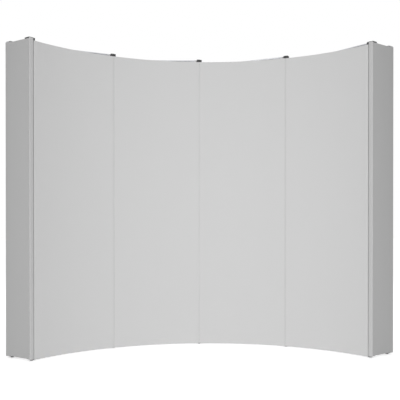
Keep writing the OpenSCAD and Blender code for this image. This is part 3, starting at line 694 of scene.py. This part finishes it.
layOut("blocksMiddle", makeBlock((-1, 1)), [columnPlace(column) for column in (1, 2, 3)], "frame",
       ["hanger_blocks"])
layOut("blocksFrontCorners", makeBlock((-1,), True), [cornerPlace(side) for side in (-1, 1)], "frame",
       ["hanger_blocks"])
layOut("blocksRearCorners", coat(makeBlock((), True), mouldedNylon),
       [cornerPlace(side) @ toRear for side in (-1, 1)], "frame", ["hanger_blocks"])
hangingSides = [columnPlace(column) @ (flip("X") if side < 0 else asIs)
                for column in columns for side in (-1, 1) if 0 <= column + side < wall["columns"]]
pin = move(makePin("pin", pins["hangerRadius"], block["hangerLength"]), turn(90, "Y"))
layOut("hangerPins", move(pin, hangerLine @ shift(block["hangerLength"] / 2, 0, 0)), hangingSides, "frame",
       ["hanger_pins"])
cornerEnds = [cornerPlace(side) @ at for side in (-1, 1) for at in (asIs, toRear)]
pin = move(makePin("pin", pins["hangerRadius"], pins["cornerLength"]), turn(-90, "X"))
pinY = block["cornerHookY"] + hook["width"] / 2
layOut("cornerPins", move(pin, shift(block["cornerPinX"], pinY, block["hangerZ"])), cornerEnds, "frame",
       ["hanger_pins"])
print("blocks laid out")

# Magnetic strips, and a dark lining of painted shade in the trims' grooves

strip = {"width": 12.7, "bar": 1.4, "panel": 1.2, "inset": 2.3, "low": 33.0, "high": 2189.05, "endLow": 43.0,
         "endHigh": 2199.05, "edge": 0.2, "colour": (0.035, 0.03, 0.027)}
legOut = 32.0                   # the outer face of a trim's leg
groove = {"low": 15.0, "high": 2227.05, "front": 1476.2, "back": 1479.0, "thick": 0.4}
magnetTape = makeFinish("magnetTape", strip["colour"], (0.25, 0.02), 0.62, 0.15,
                        [((1.2, 1.2, 0.02), 0.03), ((3.5, 3.5, 3.5), 0.03)])
start, end = strip["inset"], strip["inset"] + strip["width"]
barStrip = soften(addBox("strip", (start, bar["face"] - strip["bar"], strip["low"]),
                         (end, bar["face"], strip["high"])), strip["edge"])
layOut("barMagnets", coat(barStrip, magnetTape), hangingSides, "frame", ["bar_magnets"])
legEnd = (legOut + strip["bar"], groove["back"] + strip["width"], strip["endHigh"])
legStrip = soften(addBox("strip", (legOut, groove["back"], strip["endLow"]), legEnd), strip["edge"])
layOut("legMagnets", coat(legStrip, magnetTape), cornerEnds, "frame", ["bar_magnets"])
# A thin dark sheet on the leg's face behind the groove between trim and end panel: painted shade that darkens
# the groove's shadow line, coloured like the magnet tape
grooveShadeLining = soften(addBox("tape", (legOut, groove["front"], groove["low"]),
                           (legOut + groove["thick"], groove["back"], groove["high"])), 0.1)
layOut("grooveShadeLinings", coat(grooveShadeLining, magnetTape), cornerEnds, "frame", ["bar_magnets"])

# Corner trims

trim = {"low": 10.0, "high": 2232.05, "legHigh": 2227.05, "thick": 2.0, "corner": 3.0, "out": 36.0,
        "legDepth": 33.9, "edge": 0.3, "colour": (0.55, 0.55, 0.55)}
trimPaint = makeFinish("trimPaint", trim["colour"], (0.012, 0.006), 0.42, 0.08,
                       [((0.25, 0.25, 0.003), 0.06), ((2.0, 2.0, 2.0), 0.012)])


def arc(x, y, radius, start, end, steps):
    angles = [math.radians(start + (end - start) * i / steps) for i in range(steps + 1)]
    return [(x + radius * math.cos(angle), y + radius * math.sin(angle)) for angle in angles]


def makeTrim():
    c, front = trim, wall["frontRadius"]
    out, thick, rib = c["out"], c["thick"], bar["face"] - wall["frontRadius"]
    inner = bar["width"] / 2
    corner = c["corner"]
    outline = [(3, 0), *arc(out - corner, corner, corner, -90, 0, 6), (out, 6), (out - thick, 6),
               *arc(out - corner, corner, corner - thick, 0, -90, 3), (inner, thick), (inner, rib),
               (inner - thick, rib), (inner - thick, thick), (3 + thick, thick), (3 + thick, rib), (3, rib)]
    plate = raiseOutline("trim", [(x, front + y) for x, y in outline], c["low"], c["high"])
    soften(plate, c["edge"], angle=50)
    leg = soften(addBox("leg", (legOut - thick, front + 1.9, c["low"]),
                        (legOut, front + c["legDepth"], c["legHigh"])), c["edge"])
    return coat(join("trim", [plate, leg]), trimPaint)


model = makeTrim()
for side, name in ((-1, "left"), (1, "right")):
    layOut(f"cornerTrims{name.capitalize()}", model, [cornerPlace(side) @ at for at in (asIs, toRear)],
           "frame", [f"corner_trims_{name}"], keep=side < 0)
print("trims laid out")

# Panels

panel = {
    "thick": 1.2, "low": 5.0, "high": 2217.05, "gap": 1.0, "edge": 0.25, "steps": 40,
    "rail": 1.6, "railHeight": 24.0, "railEdge": 0.5,
    "face": (0.64, 0.64, 0.64), "back": (0.20, 0.20, 0.205), "core": (0.72, 0.72, 0.70),
}
endPanel = {"front": 1478.0, "width": 238.0, "low": 15.0, "high": 2227.05, "out": 36.0,
            "face": (0.415, 0.415, 0.415)}
sand = [((0.0025, 0.0025, 0.0015), 0.5), ((1.1, 1.1, 1.1), 0.012), ((3.2, 3.2, 3.2), 0.006)]
panelFace = makeFinish("panelFace", panel["face"], (0.008, 0.004), 0.74, 0.06, sand, specular=0.3)
endFace = makeFinish("endPanelFace", endPanel["face"], (0.008, 0.004), 0.74, 0.06, sand, specular=0.3)
panelBack = makeFinish("panelBack", panel["back"], (0.04, 0.01), 0.6, 0.1,
                       [((0.3, 0.3, 0.006), 0.05), ((2.5, 2.5, 2.5), 0.015)])
panelCore = makeFinish("panelCore", panel["core"], (0.02, 0.05), 0.55, 0.1, [((2.0, 2.0, 2.0), 0.03)])
railPlastic = makeFinish("railPlastic", (0.04, 0.04, 0.042), (0.15, 0.03), 0.48, 0.12,
                         [((0.02, 0.8, 0.8), 0.03), ((3.0, 3.0, 3.0), 0.015)])


def coatByFacing(item, finishes, side):         # side(polygon) gives the number of the finish
    coat(item, *finishes)
    for polygon in item.data.polygons:
        polygon.material_index = side(polygon)
    return item


def makeHook(drop):             # a ring along x, open below, with its leg on the side of the panel
    c = hook
    outline = [(-c["outer"], -drop), (-c["inner"], -drop), *arc(0, 0, c["inner"], 180, 0, 12),
               (c["inner"], -c["tail"]), (c["outer"], -c["tail"]), *arc(0, 0, c["outer"], 0, 180, 16)]
    model = soften(raiseOutline("hook", outline, 0, c["width"]), 0.2, angle=50)
    return move(model, turn(90, "Z") @ turn(90, "X"))


def curvedPlate(name, inner, outer, low, high, inset, steps):
    spread = wall["bayAngle"] - 2 * math.degrees(math.asin((panel["gap"] / 2 + inset) / inner))
    plate = sweepSection(name, [(inner, low), (outer, low), (outer, high), (inner, high)], spread, steps)
    return soften(plate, panel["edge"], angle=50)


def facing(polygon, inwards):                   # 0 the face, 1 the back, 2 an edge
    amount = inwards(polygon)
    return 0 if amount > 0.8 else 1 if amount < -0.8 else 2


def outwards(polygon):
    return polygon.normal.x


def towardsCentre(polygon):
    return -polygon.normal.dot(Vector((polygon.center.x, polygon.center.y, 0)).normalized())


def makePanel():                # the sheet, its rails with hooks, and its strips
    c = panel
    low, high = c["low"], c["high"]
    sheet = curvedPlate("sheet", wall["frontRadius"], sheetBack, low, high, 0, c["steps"])
    coatByFacing(sheet, [panelFace, panelBack, panelCore], lambda polygon: facing(polygon, towardsCentre))
    spans = ((low + c["railEdge"], low + c["railHeight"]), (high - c["railHeight"], high - c["railEdge"]))
    rails = [curvedPlate("rail", sheetBack, sheetBack + c["rail"], *span, c["railEdge"], c["steps"])
             for span in spans]
    ring = move(makeHook(block["hangerZ"] - high + hook["leg"]),
                shift(hookHalf - hook["width"], hangerY, block["hangerZ"]))
    railsWithHooks = coat(join("rails", [*rails, copyOf(ring, flip("X")), ring]), railPlastic)
    spread = 2 * math.degrees(math.asin(strip["width"] / 2 / sheetBack))
    swing = math.degrees(halfBay) - math.degrees(math.asin((c["gap"] / 2 + 0.3) / sheetBack)) - spread / 2
    start, end = sheetBack, sheetBack + strip["panel"]
    section = [(start, strip["low"]), (end, strip["low"]), (end, strip["high"]), (start, strip["high"])]
    tape = soften(sweepSection("tape", section, spread, 2), strip["edge"], angle=50)
    tapes = join("tapes", [copyOf(tape, turn(swing, "Z")), move(tape, turn(-swing, "Z"))])
    return sheet, railsWithHooks, coat(tapes, magnetTape)


def makeEndPanel():
    c, e = panel, endPanel
    low, high, out = e["low"], e["high"], e["out"]
    first, last = e["front"], e["front"] + e["width"]
    edge, deep = c["railEdge"], out - c["thick"]
    sheet = soften(addBox("sheet", (deep, first, low), (out, last, high)), c["edge"])
    coatByFacing(sheet, [endFace, panelBack, panelCore], lambda polygon: facing(polygon, outwards))
    rails = [soften(addBox("rail", (deep - c["rail"], first + edge, bottom),
                           (deep, last - edge, bottom + c["railHeight"] - edge)), c["edge"])
             for bottom in (low + edge, high - c["railHeight"])]
    ring = move(makeHook(block["hangerZ"] - high + hook["leg"]),
                shift(block["cornerPinX"], block["cornerHookY"], block["hangerZ"]) @ turn(90, "Z"))
    railsWithHooks = coat(join("rails", [*rails, copyOf(ring, toRear), ring]), railPlastic)
    tape = soften(addBox("tape", (deep - strip["panel"], first + 1, strip["endLow"]),
                         (deep, first + 1 + strip["width"], strip["endHigh"])), strip["edge"])
    return sheet, railsWithHooks, coat(join("tapes", [copyOf(tape, toRear), tape]), magnetTape)


panelParts = (("Sheet", "sheet"), ("Rails", "rail"), ("Magnets", "magnet"))
models = makePanel()
for bay in bays:
    number, more = bay + 1, bay < 3
    for model, (kind, slot) in zip(models, panelParts):
        layOut(f"panel{kind}{number}", model, [bayPlace(bay)], f"panel_{number}",
               [f"panel_{kind.lower()}_{number}"], keep=more)
models = makeEndPanel()
for side, name in ((-1, "left"), (1, "right")):
    for model, (kind, slot) in zip(models, panelParts):
        layOut(f"end{kind}{name.capitalize()}", model, [cornerPlace(side)], f"end_panel_{name}",
               [f"end_{kind.lower()}_{name}"], keep=side < 0)
print("panels laid out")

# Lock arms

lockArm = {
    "thick": 6.0, "height": 10.0, "eye": 6.5, "hook": 7.0, "pinHole": 2.6, "reach": 160.0,
    "tabFromHook": 18.0, "tabWidth": 12.0, "tabHeight": 14.0, "edge": 0.5, "pocketHalf": 2.6,
    "colour": (0.028, 0.028, 0.03),
}
armPlastic = makeFinish("armPlastic", lockArm["colour"], (0.2, 0.05), 0.4, 0.14,
                        [((0.5, 0.5, 0.5), 0.05), ((4.0, 4.0, 4.0), 0.02)])


def makeLockArm():              # from its pin at the origin along -y to the hook
    c = lockArm
    half, reach, tab = c["thick"] / 2, c["reach"], c["tabWidth"] / 2
    tabY = -reach + c["tabFromHook"] + tab
    arm = addBox("arm", (-half, -reach, -c["height"] / 2), (half, 0, c["height"] / 2))
    fuse(arm, addRod("eye", c["eye"], (-half, 0, 0), (half, 0, 0)),
         addRod("hookEnd", c["hook"], (-half, -reach, 0), (half, -reach, 0)),
         addBox("tab", (-half, tabY - tab, 0), (half, tabY + tab, c["tabHeight"])),
         addRod("tabTop", tab, (-half, tabY, c["tabHeight"]), (half, tabY, c["tabHeight"])))
    hole = c["pinHole"]
    carve(arm, addRod("hole", hole, (-9, 0, 0), (9, 0, 0), 32),
          addRod("catch", hole, (-9, -reach, 0), (9, -reach, 0), 32),
          addBox("mouth", (-9, -reach - hole, -20), (9, -reach + hole, 0)))
    soften(arm, c["edge"], angle=50)
    deep = c["pocketHalf"]
    for side in (-1, 1):        # long pockets, as moulded arms have
        pocket = addBox("pocket", (side * half - 1.2, -reach + 40, -deep), (side * half + 1.2, -16, deep))
        carve(arm, soften(pocket, 0.8))
    return coat(arm, armPlastic)


model = makeLockArm()
earY = hubCast["thickness"] / 2 + hubCast["earReach"]
for number in range(1, 7):
    column, row = (number - 1) % 3 + 1, 2 if number > 3 else 1
    place = columnPlace(column) @ shift(0, wall["rearHubRadius"] - earY, hubZ[row])
    layOut(f"lockArm{number}", model, [place], f"lock_arm_{number}", [f"lock_arm_{number}"],
           keep=number < 6)
print("lock arms laid out")

# Camera, floor and light

view = {                        # metres, degrees and millimetres
    "place": (-0.235, -5.0724, 0.9683), "down": 0.291, "right": 2.627, "lens": 60.172, "sensor": 36.0,
    "shiftY": 0.061, "far": 100.0,
}
bpy.ops.object.camera_add(location=view["place"])
camera = bpy.context.object
camera.rotation_euler = (math.radians(90 - view["down"]), 0, math.radians(-view["right"]))
camera.data.lens = view["lens"]
camera.data.sensor_width = view["sensor"]
camera.data.shift_y = view["shiftY"]
camera.data.clip_end = view["far"]
bpy.context.scene.camera = camera
bpy.context.scene.view_settings.view_transform = "Standard"


def seenDirectly(bench):        # 1 for what the camera, glass or metal sees
    seen, glossy, through = [bench.add("ShaderNodeLightPath", output=name) for name in
                             ("Is Camera Ray", "Is Glossy Ray", "Is Transmission Ray")]
    return seen.reckon("MAXIMUM", seen.reckon("MAXIMUM", seen, glossy), through)


light = {"sky": 0.552, "floor": 0.8, "floorGlow": 0.3, "floorLift": 0.6}
lamps = {                       # place, target, width and height in metres, and power
    "leftLamp": ((-6.4, -9.0, 1.2), (0, 0, 1.1), (4.0, 3.0), 206.0),
    "rightLamp": ((6.0, -9.4, 1.2), (0, 0, 1.1), (4.0, 3.0), 117.0),
    "frontLamp": ((-1.0, -11.0, 1.2), (0, 0, 1.1), (4.0, 3.0), 152.0),
    "backLamp": ((0.8, 5.0, 3.6), (0, 0, 1.0), (4.0, 2.4), 60.0),
}
world = bpy.data.worlds.new("studio")
bpy.context.scene.world = world
world.use_nodes = True
world.node_tree.nodes.clear()
bench = Wire(world.node_tree)
soft = bench.add("ShaderNodeBackground", None, {"Color": (1, 1, 1, 1), "Strength": light["sky"]})
white = bench.add("ShaderNodeBackground", None, {"Color": (1, 1, 1, 1), "Strength": 1.0})
both = bench.add("ShaderNodeMixShader", None, {0: seenDirectly(bench), 1: soft, 2: white})
bench.add("ShaderNodeOutputWorld", None, {"Surface": both})

bpy.ops.mesh.primitive_plane_add(size=60, location=(0, 0, -0.0005))
floor = settle("floor")
floorFinish = bpy.data.materials.new("floorPaint")
floorFinish.use_nodes = True
floorFinish.node_tree.nodes.clear()
bench = Wire(floorFinish.node_tree)
matt = bench.add("ShaderNodeBsdfDiffuse", None, {"Color": shade((1, 1, 1), light["floor"])})
glow, lift = [bench.add("ShaderNodeEmission", None, {"Color": (1, 1, 1, 1), "Strength": light[key]})
              for key in ("floorGlow", "floorLift")]
both = bench.add("ShaderNodeMixShader", None, {0: seenDirectly(bench), 1: glow, 2: lift})
both = bench.add("ShaderNodeAddShader", None, {0: matt, 1: both})
bench.add("ShaderNodeOutputMaterial", None, {"Surface": both})
coat(floor, floorFinish)


def addLamp(name, place, target, size, power):
    bpy.ops.object.light_add(type="AREA", location=place)
    lamp = bpy.context.object
    lamp.name = name
    lamp.rotation_euler = (Vector(target) - Vector(place)).to_track_quat("-Z", "Y").to_euler()
    lamp.data.shape = "RECTANGLE"
    lamp.data.size, lamp.data.size_y = size
    lamp.data.energy = power


for name, settings in lamps.items():
    addLamp(name, *settings)

print("scene ready")
